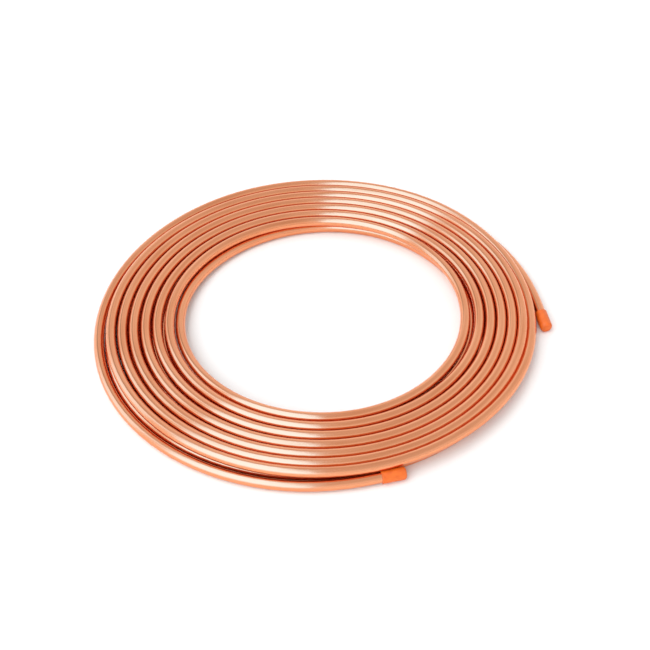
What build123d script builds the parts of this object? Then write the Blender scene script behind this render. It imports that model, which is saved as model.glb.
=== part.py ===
"""Coil of soft copper tube, wound flat in two layers, with a plastic cap on each end."""
import os
from math import acos, asin, atan2, degrees, hypot

from build123d import *

# Sizes in millimetres and degrees. The coil lies on the floor at Z = 0, with its axis on +Z.
TUBE_OD = 9.525
TUBE_WALL = 0.813
TURN_PITCH = 10.3
LAYER_CLEARANCE = 0.3
UPPER_INNER_RADIUS = 135.5
UPPER_TURNS = 7
# How far the lower layer stands back from the eye, under the upper one.
LOWER_SETBACK = 7.5
LOWER_TURNS = 6
# Thickness of copper that joins an overhanging upper turn to its neighbour.
OVERHANG_WEB = 3.0

# The end cap, which the tube is pushed into until it meets the closed end.
CAP_LENGTH = 21.5
CAP_WALL = 0.9
CAP_END_WALL = 1.2
CAP_CLEARANCE = 0.05
CAP_ROUND = 2.2
CAP_LIP_ROUND = 0.3
# How deep the hollow is cut at each end of the tube, inside its straight run.
END_HOLLOW = 24.0

# How far the arc of a tail's root would pass inside the centre line of its turn, and the small
# step that is left where the root ends, just outside that line.
ROOT_DIP = 4.0
ROOT_STEP = 0.6
# The front tail leaves the outer upper turn, and from a joint at the back of the coil it slopes
# down to the floor in one wide bend, set off to the left of the coil's axis.
FRONT_TAIL_STEP = 7.8
FRONT_TAIL_SHIFT = 2.8
FRONT_BEND_EXCESS = 0.8
FRONT_BEND_ANGLE = 192.8
FRONT_STRAIGHT = 24.0
# The side tail leaves the outer lower turn, crosses under the upper layer and ends at the right.
# Its arc is set off from the coil's axis, towards the azimuth where it stands out most, and its
# straight run springs out from the coil.
SIDE_TAIL_REACH = 14.5
SIDE_TAIL_AZIMUTH = 10.0
SIDE_JOINT_AZIMUTH = 45.0
SIDE_BEND_ANGLE = 40.0
SIDE_STRAIGHT = 43.0

lower_z = TUBE_OD / 2
upper_z = lower_z + TUBE_OD + LAYER_CLEARANCE
lower_inner_radius = UPPER_INNER_RADIUS + LOWER_SETBACK
upper_radii = [UPPER_INNER_RADIUS + turn * TURN_PITCH for turn in range(UPPER_TURNS)]
lower_radii = [lower_inner_radius + turn * TURN_PITCH for turn in range(LOWER_TURNS)]
cap_bore = TUBE_OD + 2 * CAP_CLEARANCE
cap_od = cap_bore + 2 * CAP_WALL


def angle_to_turn(root_radius, offset, turn_radius):
    """Angle along a root, from its furthest point to its end beside the line of its turn."""
    end_radius = turn_radius + ROOT_STEP
    return degrees(acos((end_radius**2 - root_radius**2 - offset**2) / (2 * root_radius * offset)))


# Front tail: a level root, drawn back from the joint to the outer upper turn, and a bend that
# lies on a slope. The slope is set so that the cap's mouth rests on the floor.
front_joint_y = upper_radii[-1] + FRONT_TAIL_STEP
front_nearest = upper_radii[-1] - ROOT_DIP
front_root_radius = (FRONT_TAIL_SHIFT**2 + front_joint_y**2 - front_nearest**2) / (
    2 * (front_joint_y - front_nearest)
)
front_rise = front_joint_y - front_root_radius
front_root_angle = angle_to_turn(
    front_root_radius, hypot(FRONT_TAIL_SHIFT, front_rise), upper_radii[-1]
) - degrees(atan2(FRONT_TAIL_SHIFT, front_rise))
front_joint = Plane(origin=(-FRONT_TAIL_SHIFT, front_joint_y, upper_z))
with BuildLine(front_joint) as front_root:
    JernArc(start=(0, 0), tangent=(1, 0), radius=front_root_radius, arc_size=-front_root_angle)
with BuildLine() as front_bend:
    bend = JernArc(
        start=(0, 0), tangent=(-1, 0),
        radius=front_joint_y + FRONT_BEND_EXCESS, arc_size=FRONT_BEND_ANGLE,
    )
    Line(bend @ 1, bend @ 1 + (bend % 1) * FRONT_STRAIGHT)
front_slope = degrees(asin((upper_z - cap_od / 2) / -(bend @ 1).Y))
front_tail = front_joint.location * Rotation(front_slope, 0, 0) * front_bend.line

# Side tail: a level root, drawn back from the joint to the outer lower turn, and one bend that
# climbs until the cap's mouth rests on the floor.
side_furthest = lower_radii[-1] + SIDE_TAIL_REACH
side_nearest = lower_radii[-1] - ROOT_DIP
side_radius = (side_furthest + side_nearest) / 2
side_offset = (side_furthest - side_nearest) / 2
side_root_angle = angle_to_turn(side_radius, side_offset, lower_radii[-1]) - (
    SIDE_JOINT_AZIMUTH - SIDE_TAIL_AZIMUTH
)
side_centre = Vector(side_offset, 0, lower_z).rotate(Axis.Z, SIDE_TAIL_AZIMUTH)
side_outward = Vector(1, 0, 0).rotate(Axis.Z, SIDE_JOINT_AZIMUTH)
side_joint = Plane(
    origin=side_centre + side_outward * side_radius,
    x_dir=side_outward.rotate(Axis.Z, -90),
)
with BuildLine(side_joint) as side_root:
    JernArc(start=(0, 0), tangent=(-1, 0), radius=side_radius, arc_size=side_root_angle)
with BuildLine() as side_bend:
    bend = JernArc(start=(0, 0), tangent=(1, 0), radius=side_radius, arc_size=-SIDE_BEND_ANGLE)
    Line(bend @ 1, bend @ 1 + (bend % 1) * SIDE_STRAIGHT)
side_mouth = bend @ 1 + (bend % 1) * (SIDE_STRAIGHT + CAP_END_WALL - CAP_LENGTH)
side_slope = degrees(asin((cap_od / 2 - lower_z) / -side_mouth.Y))
side_tail = side_joint.location * Rotation(-side_slope, 0, 0) * side_bend.line

tails = {"front": (front_root, front_tail), "side": (side_root, side_tail)}
tube_ends = {}
with BuildPart() as copper_tube:
    # The wound turns, as one turned section: a round for each turn on a core that reaches
    # from the middle of the lower layer to the middle of the upper one.
    with BuildSketch(Plane.XZ):
        with Locations([(radius, upper_z) for radius in upper_radii]):
            Circle(TUBE_OD / 2)
        with Locations([(radius, lower_z) for radius in lower_radii]):
            Circle(TUBE_OD / 2)
        with Locations((lower_radii[0], lower_z)):
            Rectangle(lower_radii[-1] - lower_radii[0], upper_z - lower_z, align=Align.MIN)
        with Locations((upper_radii[0], upper_z)):
            Rectangle(upper_radii[-1] - upper_radii[0], OVERHANG_WEB, align=(Align.MIN, Align.MAX))
    revolve(axis=Axis.Z)
    # The two tails, each swept from its end back into its turn, with the end's hollow.
    for name, (root, tail) in tails.items():
        last_run = tail.edges().filter_by(GeomType.LINE)[0]
        tube_end = Plane(origin=last_run @ 1, z_dir=last_run % 1)
        tube_ends[name] = tube_end
        with BuildSketch(tube_end):
            Circle(TUBE_OD / 2)
        sweep(path=Wire(tail.edges() + root.edges()))
    for tube_end in tube_ends.values():
        with BuildSketch(tube_end):
            Circle(TUBE_OD / 2 - TUBE_WALL)
        extrude(amount=-END_HOLLOW, mode=Mode.SUBTRACT)

os.makedirs("parts", exist_ok=True)
copper_tube.part.label = "copper_tube"
export_step(copper_tube.part, "parts/copper_tube.step")

# The caps: soft tubes with one closed, rounded end and a softened mouth.
for name, tube_end in tube_ends.items():
    with BuildPart() as end_cap:
        with BuildSketch(tube_end.offset(CAP_END_WALL)):
            Circle(cap_od / 2)
        extrude(amount=-CAP_LENGTH)
        along = Axis(tube_end.origin, tube_end.z_dir)
        fillet(end_cap.faces().sort_by(along)[-1].edges(), CAP_ROUND)
        with BuildSketch(tube_end):
            Circle(cap_bore / 2)
        extrude(amount=-CAP_LENGTH, mode=Mode.SUBTRACT)
        fillet(end_cap.faces().sort_by(along)[0].edges(), CAP_LIP_ROUND)
    end_cap.part.label = f"{name}_end_cap"
    export_step(end_cap.part, f"parts/{name}_end_cap.step")
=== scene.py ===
"""Flat coil of soft copper tube, with an orange plastic cap on each end, on a pale floor."""
from math import cos, radians, sin, tau

import bpy
import numpy as np
from mathutils import Matrix, Vector


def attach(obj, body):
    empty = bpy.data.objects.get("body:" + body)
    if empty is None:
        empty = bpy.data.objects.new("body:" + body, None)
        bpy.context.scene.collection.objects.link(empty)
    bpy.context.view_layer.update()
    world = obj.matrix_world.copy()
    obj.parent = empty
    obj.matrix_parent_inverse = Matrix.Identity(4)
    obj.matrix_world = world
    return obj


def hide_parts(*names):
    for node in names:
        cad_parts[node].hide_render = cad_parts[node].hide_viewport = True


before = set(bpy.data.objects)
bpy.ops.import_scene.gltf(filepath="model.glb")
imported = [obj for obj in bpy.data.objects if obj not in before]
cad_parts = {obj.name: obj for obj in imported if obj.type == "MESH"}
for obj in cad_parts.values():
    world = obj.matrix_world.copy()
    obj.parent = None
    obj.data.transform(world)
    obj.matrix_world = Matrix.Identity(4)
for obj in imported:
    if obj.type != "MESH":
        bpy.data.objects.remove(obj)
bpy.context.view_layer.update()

# The copper tube: one length of soft copper, drawn through a die, annealed so that it bends by
# hand, and wound flat. It runs counter-clockwise all the way: inwards along the floor from the
# capped end at the side, up beside the eye, and outwards on top to the capped end at the front.
MM = 0.001
TUBE_OD = 9.525 * MM
TUBE_WALL = 0.813 * MM
LAYER_CLEARANCE = 0.3 * MM
LAYER_RISE = TUBE_OD + LAYER_CLEARANCE
# Each end is lifted by the wall of the cap that is pushed over it.
CAP_WALL = 0.9 * MM
CAP_CLEARANCE = 0.05 * MM
CAP_RISE = CAP_WALL + CAP_CLEARANCE
# Where things happen is counted in turns, from the +X axis near the start of the tube.
SIDE_END_TURN = 0.0
CLIMB_TURNS = (6.29, 6.72)
CROSSING_TURNS = (6.18, 6.64)
LAST_WHOLE_TURN = 13.0
DROP_TURNS = (13.30, 13.57)
FRONT_END_TURN = 13.7842
# The lower layer is tight. Its outer end swings out from under the upper layer and springs away
# from it. It bulges again where the front end lies against it, and its inner turn sags in.
LOWER_OUTER_RADIUS = 202.0 * MM
LOWER_PITCH = 9.55 * MM
SIDE_SWING = 7.2 * MM
SIDE_SWING_TURNS = 0.45
SIDE_FLARE = 1.5 * MM
SIDE_FLARE_TURNS = 0.03
LOWER_BULGE = 3.6 * MM
LOWER_BULGE_TURN = 0.57
LOWER_BULGE_REACH = 0.20
LOWER_SAG = 5.0 * MM
LOWER_SAG_TURN = 5.87
LOWER_SAG_REACH = 0.16
# The upper layer is looser towards the eye, where its turns lean to one side, are a little oval,
# and sag in once. Its outer turns lie a little to the left, and the outermost sinks into the
# valley between the lower layer and the side end.
UPPER_RADIUS = 202.1 * MM
UPPER_PITCH = 9.91 * MM
UPPER_LOOSENING = 0.112 * MM
LEAN_PER_TURN = 0.378 * MM
OVAL_PER_TURN = 0.154 * MM
LEAN_AZIMUTH = radians(-48.5)
OUTER_SHIFT = 1.0 * MM
OUTER_SHIFT_TURNS = 4
OUTER_SHIFT_AZIMUTH = radians(185)
VALLEY_DEPTH = 4.3 * MM
VALLEY_TUCK = 1.0 * MM
VALLEY_TURN = 13.0
VALLEY_REACH = 0.17
INNER_SAG = 2.2 * MM
INNER_SAG_TURN = 6.97
INNER_SAG_REACH = 0.2
# The front end bulges out where it slips down to the floor, then tucks in under the upper layer.
FRONT_BULGE = 2.2 * MM
FRONT_BULGE_TURN = 13.49
FRONT_BULGE_REACH = 0.17
FRONT_TUCK = 4.8 * MM
FRONT_TUCK_TURNS = (13.60, 13.85)
# Each end rises in the last of its bend and runs on straight into its cap.
END_STRAIGHT = 24.0 * MM
END_RISE_TURNS = 0.06
# How finely the tube is drawn.
RINGS_A_TURN = 100
END_RINGS = 6
TUBE_SIDES = 24
TUBE_SHARP_ANGLE = radians(40)


def ease(value, start, end):
    """A smooth step from 0 at start to 1 at end."""
    share = np.clip((value - start) / (end - start), 0, 1)
    return share * share * (3 - 2 * share)


def near(turn, middle, reach):
    """A smooth bump that is 1 at the middle and 0 beyond its reach."""
    return 1 - ease(abs(turn - middle), 0, reach)


def tube_line(turn):
    """Points on the middle of the tube, for an array of turns."""
    angle = tau * turn
    lower = LOWER_OUTER_RADIUS - LOWER_PITCH * turn
    lower = lower + SIDE_SWING * (1 - ease(turn, 0, SIDE_SWING_TURNS))
    lower = lower + SIDE_FLARE * np.clip(1 - turn / SIDE_FLARE_TURNS, 0, 1) ** 2
    lower = lower + LOWER_BULGE * near(turn, LOWER_BULGE_TURN, LOWER_BULGE_REACH)
    lower = lower - LOWER_SAG * near(turn, LOWER_SAG_TURN, LOWER_SAG_REACH)
    inward = LAST_WHOLE_TURN - turn
    upper = UPPER_RADIUS - UPPER_PITCH * inward - UPPER_LOOSENING * inward**2
    upper = upper + LEAN_PER_TURN * inward * np.cos(angle - LEAN_AZIMUTH)
    upper = upper + OVAL_PER_TURN * inward * np.cos(2 * (angle - LEAN_AZIMUTH))
    outer_share = np.clip(1 - inward / OUTER_SHIFT_TURNS, 0, 1)
    upper = upper + OUTER_SHIFT * outer_share * np.cos(angle - OUTER_SHIFT_AZIMUTH)
    upper = upper - INNER_SAG * near(turn, INNER_SAG_TURN, INNER_SAG_REACH)
    sunk = near(turn, VALLEY_TURN, VALLEY_REACH)
    upper = upper - VALLEY_TUCK * sunk
    upper = upper + FRONT_BULGE * near(turn, FRONT_BULGE_TURN, FRONT_BULGE_REACH)
    upper = upper - FRONT_TUCK * ease(turn, *FRONT_TUCK_TURNS)
    crossing = ease(turn, *CROSSING_TURNS)
    radius = (1 - crossing) * lower + crossing * upper
    height = TUBE_OD / 2 + LAYER_RISE * (ease(turn, *CLIMB_TURNS) - ease(turn, *DROP_TURNS))
    height = height - VALLEY_DEPTH * sunk
    ends = ease(turn, SIDE_END_TURN + END_RISE_TURNS, SIDE_END_TURN)
    ends = ends + ease(turn, FRONT_END_TURN - END_RISE_TURNS, FRONT_END_TURN)
    height = height + CAP_RISE * ends
    return np.stack([radius * np.cos(angle), radius * np.sin(angle), height], axis=1)


def unit(vectors):
    """Each row of an array as a vector of length 1."""
    return vectors / np.linalg.norm(vectors, axis=1, keepdims=True)


# The middle line of the tube, with a straight run past each end of the winding.
wound_rings = round((FRONT_END_TURN - SIDE_END_TURN) * RINGS_A_TURN)
wound = tube_line(np.linspace(SIDE_END_TURN, FRONT_END_TURN, wound_rings))
straight = np.linspace(1 / END_RINGS, 1, END_RINGS)[:, None] * END_STRAIGHT
side_run = wound[0] + straight[::-1] * unit(wound[:1] - wound[1:2])
front_run = wound[-1] + straight * unit(wound[-1:] - wound[-2:-1])
line = np.concatenate([side_run, wound, front_run])
ahead = unit(np.gradient(line, axis=0))
outward = unit(np.cross(ahead, (0, 0, 1)))
upward = np.cross(outward, ahead)
length = np.concatenate([[0], np.cumsum(np.linalg.norm(np.diff(line, axis=0), axis=1))])

# One closed skin: the outside from the side end to the front end, and the bore back again.
around = tau * np.arange(TUBE_SIDES) / TUBE_SIDES
spokes = np.cos(around)[:, None] * outward[:, None] + np.sin(around)[:, None] * upward[:, None]
outside = line[:, None] + spokes * TUBE_OD / 2
bore = line[:, None] + spokes * (TUBE_OD / 2 - TUBE_WALL)
rings = np.concatenate([outside, bore[::-1]])
ring, side = np.meshgrid(np.arange(len(rings)), np.arange(TUBE_SIDES), indexing="ij")
next_ring, next_side = (ring + 1) % len(rings), (side + 1) % TUBE_SIDES
corners = [(ring, side), (ring, next_side), (next_ring, next_side), (next_ring, side)]
faces = np.stack([r * TUBE_SIDES + s for r, s in corners], axis=-1).reshape(-1, 4)
tube_data = bpy.data.meshes.new("copper_tube_wound")
tube_data.from_pydata(rings.reshape(-1, 3).tolist(), [], faces.tolist())
tube_data.update()
tube_data.polygons.foreach_set("use_smooth", np.ones(len(faces), dtype=bool))
tube_data.set_sharp_from_angle(angle=TUBE_SHARP_ANGLE)
# Each point also keeps its place on the tube as it left the die, straight along X, so that the
# marks of drawing follow the tube round the coil.
ring_length = np.concatenate([length, length[::-1]])
before_winding = np.stack([
    np.repeat(ring_length, TUBE_SIDES),
    np.tile(np.cos(around) * TUBE_OD / 2, len(rings)),
    np.tile(np.sin(around) * TUBE_OD / 2, len(rings)),
], axis=1)
place = tube_data.attributes.new("before_winding", "FLOAT_VECTOR", "POINT")
place.data.foreach_set("vector", before_winding.ravel())
wound_tube = bpy.data.objects.new("wound_tube", tube_data)
bpy.context.scene.collection.objects.link(wound_tube)


def linear(hex_colour):
    """An sRGB hex colour as linear RGBA."""
    values = [int(hex_colour[i:i + 2], 16) / 255 for i in (1, 3, 5)]
    values = [v / 12.92 if v <= 0.04045 else ((v + 0.055) / 1.055) ** 2.4 for v in values]
    return (*values, 1.0)


def add_node(tree, kind, inputs, **settings):
    """Add a node with its settings, and link or set each of its inputs."""
    node = tree.nodes.new(kind)
    for name, value in settings.items():
        setattr(node, name, value)
    for name, value in inputs.items():
        if isinstance(value, bpy.types.NodeSocket):
            tree.links.new(value, node.inputs[name])
        else:
            node.inputs[name].default_value = value
    return node


# Bright drawn copper, annealed clean: a smooth pink-orange metal with faint lines along the tube
# from the die, and a slightly darker bloom in patches where air and hands have been.
COPPER_BRIGHT = linear("#EF9D71")
COPPER_BLOOM = linear("#E28D60")
DRAW_LINE_WIDTH = 0.9 * MM       # real lines are a tenth of this, too fine to show
DRAW_LINE_LENGTH = 90 * MM
DRAW_LINE_DEPTH = 0.05 * MM
DRAW_LINE_STRENGTH = 0.15
DRAW_LINE_SPREAD = (0.3, 0.7)
COPPER_ROUGHNESS = (0.13, 0.22)
BLOOM_LENGTH = 70 * MM
BLOOM_WIDTH = 7 * MM
BLOOM_SPREAD = (0.45, 0.75)
copper = bpy.data.materials.new("drawn_annealed_copper")
copper.use_nodes = True
tree = copper.node_tree
shader = tree.nodes["Principled BSDF"]
shader.inputs["Metallic"].default_value = 1.0
straight_place = add_node(tree, "ShaderNodeAttribute", {}, attribute_name="before_winding")
line_place = add_node(tree, "ShaderNodeVectorMath", {
    0: straight_place.outputs["Vector"],
    1: (1 / DRAW_LINE_LENGTH, 1 / DRAW_LINE_WIDTH, 1 / DRAW_LINE_WIDTH),
}, operation="MULTIPLY")
draw_lines = add_node(tree, "ShaderNodeTexNoise", {
    "Vector": line_place.outputs[0], "Scale": 1.0, "Detail": 3.0, "Roughness": 0.6,
})
bloom_place = add_node(tree, "ShaderNodeVectorMath", {
    0: straight_place.outputs["Vector"],
    1: (1 / BLOOM_LENGTH, 1 / BLOOM_WIDTH, 1 / BLOOM_WIDTH),
}, operation="MULTIPLY")
bloom = add_node(tree, "ShaderNodeTexNoise", {
    "Vector": bloom_place.outputs[0], "Scale": 1.0, "Detail": 4.0, "Roughness": 0.55,
})
bloom_share = add_node(tree, "ShaderNodeMapRange", {
    "Value": bloom.outputs["Fac"], "From Min": BLOOM_SPREAD[0], "From Max": BLOOM_SPREAD[1],
})
copper_colour = add_node(tree, "ShaderNodeMix", {
    "Factor": bloom_share.outputs[0], "A": COPPER_BRIGHT, "B": COPPER_BLOOM,
}, data_type="RGBA")
tree.links.new(copper_colour.outputs["Result"], shader.inputs["Base Color"])
dullness = add_node(tree, "ShaderNodeMapRange", {
    "Value": draw_lines.outputs["Fac"],
    "From Min": DRAW_LINE_SPREAD[0], "From Max": DRAW_LINE_SPREAD[1],
    "To Min": COPPER_ROUGHNESS[0], "To Max": COPPER_ROUGHNESS[1],
})
tree.links.new(dullness.outputs[0], shader.inputs["Roughness"])
relief = add_node(tree, "ShaderNodeBump", {
    "Height": draw_lines.outputs["Fac"],
    "Strength": DRAW_LINE_STRENGTH, "Distance": DRAW_LINE_DEPTH,
})
tree.links.new(relief.outputs[0], shader.inputs["Normal"])
tube_data.materials.append(copper)
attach(wound_tube, "root")
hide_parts("copper_tube")

# The end caps: soft orange vinyl, dipped on a mandrel, with a round closed end and a thin
# mouth. Each one is pushed over an end of the tube until the tube meets the closed end.
CAP_LENGTH = 21.5 * MM
CAP_BORE = TUBE_OD + 2 * CAP_CLEARANCE
CAP_END_WALL = 1.2 * MM
CAP_ROUND = 3.0 * MM
CAP_LIP_ROUND = 0.3 * MM
CAP_SIDES = 48
CAP_SHARP_ANGLE = radians(50)
CORNER_STEPS = 8


def corner(radius, along, size, first, last):
    """Points (radius, along) on a rounded corner about its centre, between two angles."""
    turns = np.radians(np.linspace(first, last, CORNER_STEPS))
    return [(radius + size * cos(a), along + size * sin(a)) for a in turns]


# Half a section through the cap, from the middle of its closed end, round the mouth and back
# inside. Each point is a radius and a distance past the end of the tube.
cap_radius = CAP_BORE / 2 + CAP_WALL
mouth = CAP_END_WALL - CAP_LENGTH
cap_profile = [(0, CAP_END_WALL)]
cap_profile += corner(cap_radius - CAP_ROUND, CAP_END_WALL - CAP_ROUND, CAP_ROUND, 90, 0)
cap_profile += corner(cap_radius - CAP_LIP_ROUND, mouth + CAP_LIP_ROUND, CAP_LIP_ROUND, 0, -90)
cap_profile += corner(CAP_BORE / 2 + CAP_LIP_ROUND, mouth + CAP_LIP_ROUND, CAP_LIP_ROUND, -90, -180)
cap_profile += [(CAP_BORE / 2, 0), (0, 0)]

# Dipped vinyl: a soft, satin plastic, a little uneven in colour where the dip ran thicker, with
# the faint ripple that is left when the coat sets on its mandrel.
VINYL_ORANGE = linear("#E46B18")
VINYL_THICK = linear("#D45A0E")
DIP_PATCH = 5 * MM
DIP_PATCH_SPREAD = (0.35, 0.75)
DIP_RIPPLE = 1.6 * MM            # real ripples are finer, too fine to show
DIP_RIPPLE_DEPTH = 0.15 * MM
DIP_RIPPLE_STRENGTH = 0.35
VINYL_ROUGHNESS = (0.38, 0.56)
vinyl = bpy.data.materials.new("dipped_vinyl")
vinyl.use_nodes = True
tree = vinyl.node_tree
shader = tree.nodes["Principled BSDF"]
cap_place = add_node(tree, "ShaderNodeTexCoord", {}).outputs["Object"]
patches = add_node(tree, "ShaderNodeTexNoise", {
    "Vector": cap_place, "Scale": 1 / DIP_PATCH, "Detail": 3.0, "Roughness": 0.5,
}).outputs["Fac"]
ripple = add_node(tree, "ShaderNodeTexNoise", {
    "Vector": cap_place, "Scale": 1 / DIP_RIPPLE, "Detail": 2.0, "Roughness": 0.5,
}).outputs["Fac"]
thickness = add_node(tree, "ShaderNodeMapRange", {
    "Value": patches, "From Min": DIP_PATCH_SPREAD[0], "From Max": DIP_PATCH_SPREAD[1],
})
vinyl_colour = add_node(tree, "ShaderNodeMix", {
    "Factor": thickness.outputs[0], "A": VINYL_ORANGE, "B": VINYL_THICK,
}, data_type="RGBA")
tree.links.new(vinyl_colour.outputs["Result"], shader.inputs["Base Color"])
satin = add_node(tree, "ShaderNodeMapRange", {
    "Value": ripple, "To Min": VINYL_ROUGHNESS[0], "To Max": VINYL_ROUGHNESS[1],
})
tree.links.new(satin.outputs[0], shader.inputs["Roughness"])
set_ripple = add_node(tree, "ShaderNodeBump", {
    "Height": ripple, "Strength": DIP_RIPPLE_STRENGTH, "Distance": DIP_RIPPLE_DEPTH,
})
tree.links.new(set_ripple.outputs[0], shader.inputs["Normal"])

# The section is turned about the line that each end of the tube points along.
cap_around = tau * np.arange(CAP_SIDES) / CAP_SIDES
cap_ends = {"front": (line[-1], ahead[-1]), "side": (line[0], -ahead[0])}
for name, (tip, along) in cap_ends.items():
    across = np.array((along[1], -along[0], 0)) / np.hypot(along[0], along[1])
    above = np.cross(across, along)
    points = [tip + along * cap_profile[0][1]]
    for radius, reach in cap_profile[1:-1]:
        for angle in cap_around:
            points.append(tip + along * reach + radius * (cos(angle) * across + sin(angle) * above))
    points.append(tip + along * cap_profile[-1][1])
    cap_faces = []
    loops = len(cap_profile) - 2
    for step in range(CAP_SIDES):
        after = (step + 1) % CAP_SIDES
        cap_faces.append((0, 1 + step, 1 + after))
        for loop in range(loops - 1):
            here, there = 1 + loop * CAP_SIDES, 1 + (loop + 1) * CAP_SIDES
            cap_faces.append((here + step, there + step, there + after, here + after))
        last = 1 + (loops - 1) * CAP_SIDES
        cap_faces.append((last + after, last + step, len(points) - 1))
    data = bpy.data.meshes.new(f"{name}_cap")
    data.from_pydata([tuple(p) for p in points], [], cap_faces)
    data.update()
    data.polygons.foreach_set("use_smooth", np.ones(len(cap_faces), dtype=bool))
    data.set_sharp_from_angle(angle=CAP_SHARP_ANGLE)
    cap = bpy.data.objects.new(f"{name}_cap", data)
    bpy.context.scene.collection.objects.link(cap)
    data.materials.append(vinyl)
    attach(cap, "root")
    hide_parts(f"{name}_end_cap")

# The floor: a wide sweep of matt white paper, which goes white in the studio's light and keeps
# the soft shade under the coil.
FLOOR_SIZE = 12.0
PAPER_WHITE = linear("#F7F7F7")
PAPER_MOTTLE = linear("#F3F3F3")
PAPER_GRAIN = 3 * MM             # real fibres are a tenth of this, too fine to show
PAPER_ROUGHNESS = 0.9
bpy.ops.mesh.primitive_plane_add(size=FLOOR_SIZE)
floor = bpy.context.object
floor.name = "floor"
paper = bpy.data.materials.new("matt_white_paper")
paper.use_nodes = True
tree = paper.node_tree
shader = tree.nodes["Principled BSDF"]
shader.inputs["Roughness"].default_value = PAPER_ROUGHNESS
shader.inputs["Specular IOR Level"].default_value = 0.0
floor_place = add_node(tree, "ShaderNodeTexCoord", {})
fibres = add_node(tree, "ShaderNodeTexNoise", {
    "Vector": floor_place.outputs["Object"], "Scale": 1 / PAPER_GRAIN, "Detail": 2.0,
})
paper_colour = add_node(tree, "ShaderNodeMix", {
    "Factor": fibres.outputs["Fac"], "A": PAPER_WHITE, "B": PAPER_MOTTLE,
}, data_type="RGBA")
tree.links.new(paper_colour.outputs["Result"], shader.inputs["Base Color"])
floor.data.materials.append(paper)

# The studio: pale walls under a greyer ceiling, a long softbox over the front left, whose straight
# right edge stands over the middle of the coil, a strip light low at the left and a dark flag at
# the back. All are drawn on the sky by direction, so nothing stands in the way of another view.
world = bpy.data.worlds.new("studio")
world.use_nodes = True
bpy.context.scene.world = world
tree = world.node_tree
# The light that reaches the floor is plain white. A photograph lets the red of a bright reflection
# go pale, so what the copper mirrors is bluer the brighter it is.
WALL_LIGHT = (1.0, 1.0, 1.0, 1)
LEFT_WALL_MIRRORED = (1.10, 1.30, 1.50, 1)
RIGHT_WALL_MIRRORED = (0.96, 1.05, 1.12, 1)
CEILING_LIGHT = (0.62, 0.62, 0.62, 1)
CEILING_MIRRORED = (0.74, 0.77, 0.80, 1)
FLAG_LIGHT = (0.5, 0.5, 0.5, 1)
FLAG_MIRRORED = (0.56, 0.62, 0.66, 1)
SOFTBOX_LIGHT = (2.8, 2.8, 2.8, 1)
SOFTBOX_MIRRORED = (1.22, 2.65, 4.6, 1)
STRIP_LIGHT = (1.8, 1.8, 1.8, 1)
STRIP_MIRRORED = (1.15, 2.0, 3.1, 1)
# Each edge is read along one axis of a unit vector from the coil: where the area behind it starts
# to show, and where it shows in full. The softbox's left edge is slanted and the strip is tilted.
RIGHT_WALL_EDGE = (-0.5, 0.5)
CEILING_EDGE = (0.4, 0.95)
FLAG_FRONT = (0.35, 0.50)
FLAG_LOW = (0.40, 0.50)
FLAG_LEFT = (-0.60, -0.52)
FLAG_RIGHT = (-0.22, -0.36)
SOFTBOX_RIGHT = (-0.07, -0.10)
SOFTBOX_LOW = (-0.1, 0.5)
SOFTBOX_BACK = (0.60, 0.20)
SOFTBOX_LEFT = (0.78, 0.62)
SOFTBOX_LEFT_SLANT = -1.11
STRIP_NORMAL = (-0.248, -0.926, 0.283)
STRIP_BACK = (-0.28, -0.12)
STRIP_FRONT = (0.36, 0.28)
STRIP_RIGHT = (-0.52, -0.62)
# Light goes back and forth between neighbouring turns more often than the usual four times.
MIRRORINGS = 12
bpy.context.scene.cycles.glossy_bounces = MIRRORINGS
towards = add_node(tree, "ShaderNodeTexCoord", {}).outputs["Generated"]
axis = add_node(tree, "ShaderNodeSeparateXYZ", {"Vector": towards}).outputs
slanted = add_node(tree, "ShaderNodeMath", {
    0: axis["X"], 1: SOFTBOX_LEFT_SLANT, 2: axis["Y"],
}, operation="MULTIPLY_ADD").outputs[0]
tilted = add_node(tree, "ShaderNodeVectorMath", {
    0: towards, 1: STRIP_NORMAL,
}, operation="DOT_PRODUCT").outputs["Value"]
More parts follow.
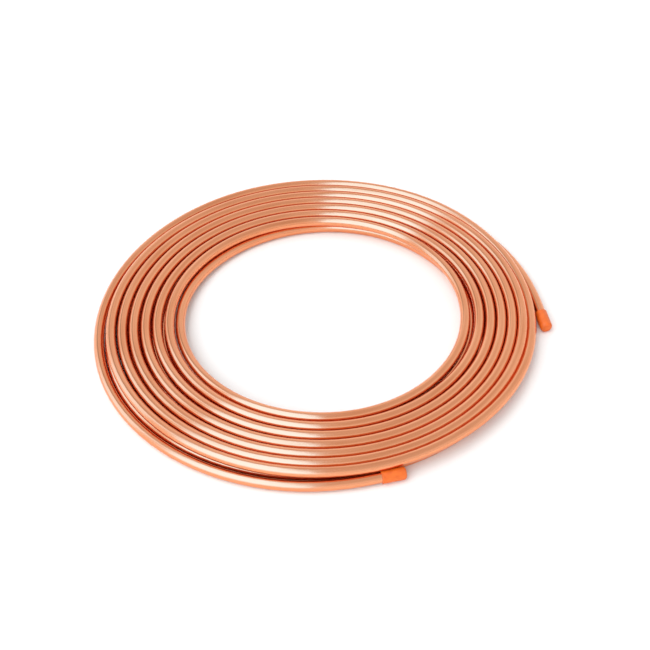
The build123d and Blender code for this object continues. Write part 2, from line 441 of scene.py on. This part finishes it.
# The left wall is everywhere at first, and each area is laid over those before it.
areas = [
    (WALL_LIGHT, RIGHT_WALL_MIRRORED, [(axis["X"], RIGHT_WALL_EDGE)]),
    (CEILING_LIGHT, CEILING_MIRRORED, [(axis["Z"], CEILING_EDGE)]),
    (FLAG_LIGHT, FLAG_MIRRORED, [
        (axis["Y"], FLAG_FRONT), (axis["Z"], FLAG_LOW), (axis["X"], FLAG_LEFT), (axis["X"], FLAG_RIGHT),
    ]),
    (SOFTBOX_LIGHT, SOFTBOX_MIRRORED, [
        (axis["X"], SOFTBOX_RIGHT), (axis["Z"], SOFTBOX_LOW), (axis["Y"], SOFTBOX_BACK),
        (slanted, SOFTBOX_LEFT),
    ]),
    (STRIP_LIGHT, STRIP_MIRRORED, [
        (tilted, STRIP_BACK), (tilted, STRIP_FRONT), (axis["X"], STRIP_RIGHT),
    ]),
]
light, mirrored = WALL_LIGHT, LEFT_WALL_MIRRORED
for area_light, area_mirrored, edges in areas:
    share = 1.0
    for place, (start, full) in edges:
        step = add_node(tree, "ShaderNodeMapRange", {
            "Value": place, "From Min": start, "From Max": full,
        }, interpolation_type="SMOOTHSTEP")
        share = add_node(tree, "ShaderNodeMath", {
            0: step.outputs[0], 1: share,
        }, operation="MULTIPLY").outputs[0]
    light = add_node(tree, "ShaderNodeMix", {
        "Factor": share, "A": light, "B": area_light,
    }, data_type="RGBA").outputs["Result"]
    mirrored = add_node(tree, "ShaderNodeMix", {
        "Factor": share, "A": mirrored, "B": area_mirrored,
    }, data_type="RGBA").outputs["Result"]
in_mirror = add_node(tree, "ShaderNodeLightPath", {}).outputs["Is Glossy Ray"]
seen = add_node(tree, "ShaderNodeMix", {
    "Factor": in_mirror, "A": light, "B": mirrored,
}, data_type="RGBA").outputs["Result"]
tree.links.new(seen, tree.nodes["Background"].inputs["Color"])

# The camera: it stands in front of the coil, at the photograph's height and distance, and is
# rolled by as much as the photograph leans.
CAMERA_AIM = Vector((4.646, -18.97, 14.5875)) * MM
CAMERA_DISTANCE = 1154.4 * MM
CAMERA_ELEVATION = radians(42.68)
CAMERA_ROLL = radians(-2.0)
CAMERA_LENS = 67.96
SENSOR_WIDTH = 36.0
camera_data = bpy.data.cameras.new("camera")
camera_data.lens = CAMERA_LENS
camera_data.sensor_width = SENSOR_WIDTH
camera = bpy.data.objects.new("camera", camera_data)
bpy.context.scene.collection.objects.link(camera)
offset = Vector((0, -cos(CAMERA_ELEVATION), sin(CAMERA_ELEVATION))) * CAMERA_DISTANCE
look = (-offset).to_track_quat("-Z", "Y").to_matrix().to_4x4()
camera.matrix_world = Matrix.Translation(CAMERA_AIM + offset) @ look @ Matrix.Rotation(CAMERA_ROLL, 4, "Z")
bpy.context.scene.camera = camera
bpy.context.scene.view_settings.view_transform = "Standard"
